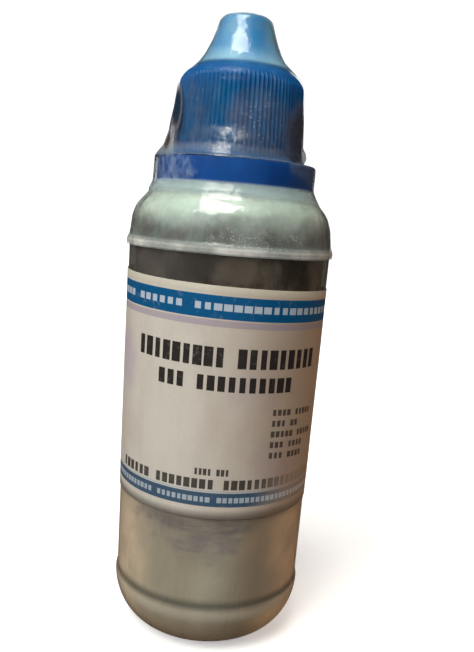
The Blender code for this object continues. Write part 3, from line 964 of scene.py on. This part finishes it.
def film_warp(r, z, angle):
    """The film clings, with creases and lumps, but at the left it bridges the waist from cap to shoulder."""
    radius = r
    if BRIDGE_FOOT < z < SKIRT_TOP:
        bridged = max(bump(angle, 186, 58), 0.75 * bump(angle, 252, 48) * smoothstep(115.5, 112.0, z))
        radius += max(0.0, along(BRIDGE, z) - r) * bridged
    on_skirt = within(z, (110.2, 111.5, 124.0, 126.0))
    radius += on_skirt * 0.16 * max(0.0, crease(angle, z, 4.0))
    for lump in LUMPS:
        radius += lump.depth * bump(angle, lump.centre, lump.half_width) * within(z, lump.span)
    on_shoulder = within(z, (93.0, 95.0, 101.5, 103.5))
    folds = 0.16 * max(0.0, crease(angle, z * 2.2, 9.0)) + 0.09 * max(0.0, crease(angle * 3, z * 6.0, 2.0))
    return radius + on_shoulder * folds


def make_film():
    skirt = [(SKIRT_TOP_R + 0.55, SKIRT_TOP), (SKIRT_FOOT_R + 0.5, 112.5)]
    over_cap = [(r + 0.24, z + 0.1) for r, z in [(3.4, CAP.top + 0.1)] + CONE[1:] + ROUNDING[:-1]] + skirt
    over_ring = [(17.05, 109.15), (17.35, 108.7), (17.35, 104.2), (18.1, 102.7)]
    over_shoulder = [(r + 0.2, z) for r, z in SHOULDER if z < 101.4]
    ridge = [(22.5, RIDGE_TOP + 0.45), (22.8, RIDGE_TOP - 0.1), (22.95, 91.3), (22.85, 90.9)]
    ridge += [(FILM.radius, FILM.bottom)]
    section = over_cap + WAIST + over_ring + over_shoulder + ridge
    section = dense(rounded(section, 0.5, steps=2), 0.5)
    section += inset(section, FILM_THICK)[::-1]
    sleeve = lathe(section, FILM_SEGMENTS, closed=True, warp=film_warp)
    film = object_from(sleeve, "film", [shrink_film()], sharp_deg=70)
    place(film, "film", "shrink_film")


def make_label():
    """A paper strip on the panel, a little askew along its top edge and not quite flat."""
    columns, rows = 220, 24
    bm = bmesh.new()
    uv = bm.loops.layers.uv.new("print")
    radius = LABEL.radius
    grid = []
    for i in range(columns + 1):
        turn = math.radians(LABEL_HALF_DEG * (2 * i / columns - 1))
        across = turn * radius
        height = LABEL_HEIGHT + LABEL_SKEW * across
        column = []
        for j in range(rows + 1):
            up = height * j / rows
            lift = 0.05 * noise.noise(Vector((across * 0.08, up * 0.1, 2.0)))
            own_r = radius - LABEL_LIFT + min(lift, LABEL_LIFT)
            vert = bm.verts.new(point(own_r, LABEL.bottom - LABEL_DROP + up, FRONT + turn))
            column.append((vert, (across / UV_UNIT, up / UV_UNIT)))
        grid.append(column)
    for left, right in zip(grid, grid[1:]):
        for j in range(rows):
            corners = [left[j], right[j], right[j + 1], left[j + 1]]
            face = bm.faces.new([corner[0] for corner in corners])
            for loop, corner in zip(face.loops, corners):
                loop[uv].uv = corner[1]
    label = object_from(bm, "label_strip", [label_print()])
    solid = label.modifiers.new("Thickness", "SOLIDIFY")
    solid.thickness = LABEL_THICK * MM
    solid.offset = -1.0
    place(label, "bottle", "label")


# ---------------------------------------------------------------- studio


# Azimuth 0 is in front and 90 to the right, in degrees; distance and size are in metres
Lamp = namedtuple("Lamp", "name azimuth elevation distance size power colour")
WINDOW = Lamp("window", -27, 62, 0.6, (0.30, 0.42), 3.3, (1.0, 0.98, 0.89))
FILLS = [
    Lamp("key", -46, 32, 0.7, (0.5, 0.5), 3.5, (1.0, 0.985, 0.96)),
    Lamp("front_fill", 12, 0, 0.7, (0.5, 0.5), 1.7, (1.0, 0.97, 0.93)),
    Lamp("warm_right", 112, 4, 0.5, (0.2, 0.4), 1.05, (1.0, 0.64, 0.40)),
    Lamp("warm_left", -118, 0, 0.5, (0.2, 0.4), 0.5, (1.0, 0.72, 0.50)),
    Lamp("back_fill", 172, 22, 0.8, (0.5, 0.5), 2.2, (1.0, 0.98, 0.95)),
]


def area_light(lamp, mirrored):
    """A soft light aimed at the bottle's middle."""
    light = bpy.data.lights.new(lamp.name, "AREA")
    light.shape = "RECTANGLE"
    light.size, light.size_y = lamp.size
    light.energy = lamp.power
    light.color = lamp.colour
    obj = bpy.data.objects.new(lamp.name, light)
    a, e = math.radians(lamp.azimuth), math.radians(lamp.elevation)
    towards = Vector((math.sin(a) * math.cos(e), -math.cos(a) * math.cos(e), math.sin(e)))
    aim = Vector((0, 0, BOTTLE.top * MM / 2))
    obj.location = aim + towards * lamp.distance
    obj.rotation_euler = (-towards).to_track_quat("-Z", "Y").to_euler()
    obj.visible_glossy = mirrored
    bpy.context.scene.collection.objects.link(obj)


def make_sky():
    """What the bottle reflects: a dim room, warm below and cooler above."""
    world = bpy.data.worlds.new("room")
    bpy.context.scene.world = world
    world.use_nodes = True
    n = Nodes(world.node_tree)
    height = n.node("SeparateXYZ", "Z", Vector=n.node("TexCoord", "Generated"))
    ramp = n.tree.nodes.new("ShaderNodeValToRGB")
    n.feed(ramp.inputs[0], n.node("MapRange", Value=height, From_Min=-1.0))
    warm, dim, cool = (0.13, 0.095, 0.066), (0.024, 0.022, 0.020), (0.10, 0.11, 0.12)
    for number, (spot, colour) in enumerate(((0.0, warm), (0.45, dim), (0.6, dim), (1.0, cool))):
        stop = ramp.color_ramp.elements[number] if number < 2 else ramp.color_ramp.elements.new(spot)
        stop.position = spot
        stop.color = (*colour, 1.0)
    n.feed(n.tree.nodes["Background"].inputs["Color"], ramp.outputs["Color"])


def make_stage():
    """A pale round floor that curves up into a wall. Lengths are in metres. It tints nothing nearby."""
    reach, bend, top = 1.3, 0.5, 2.6
    sweep = arc((reach - bend, bend), (bend, bend), 0, -90, 14)
    profile = [(reach, top)] + sweep + [(0.0, 0.0)]
    in_millimetres = [(r / MM, z / MM) for r, z in profile]
    floor = object_from(lathe(in_millimetres, 96), "floor", [studio_paper()], sharp_deg=80)
    floor.visible_diffuse = False
    floor.visible_glossy = False


def make_lights():
    """One window that shows in the gloss, and fills that don't."""
    area_light(WINDOW, mirrored=True)
    for lamp in FILLS:
        area_light(lamp, mirrored=False)


def make_camera():
    camera = bpy.data.cameras.new("camera")
    camera.lens = CAMERA_LENS
    camera.shift_y = CAMERA_SHIFT
    camera.clip_start = 0.01
    obj = bpy.data.objects.new("camera", camera)
    yaw = Matrix.Rotation(math.radians(CAMERA_YAW), 4, "Z")
    pitch = Matrix.Rotation(math.radians(90 - CAMERA_DOWN), 4, "X")
    roll = Matrix.Rotation(math.radians(CAMERA_ROLL), 4, "Z")
    stand = Matrix.Translation(Vector((0, -CAMERA_DISTANCE, CAMERA_HEIGHT)) * MM)
    obj.matrix_world = stand @ yaw @ pitch @ roll
    bpy.context.scene.collection.objects.link(obj)
    bpy.context.scene.camera = obj


make_camera()
make_bottle()
make_liquid()
make_plug()
make_cap()
make_ring()
make_film()
make_label()
make_stage()
make_sky()
make_lights()
bpy.context.scene.view_settings.view_transform = "Standard"
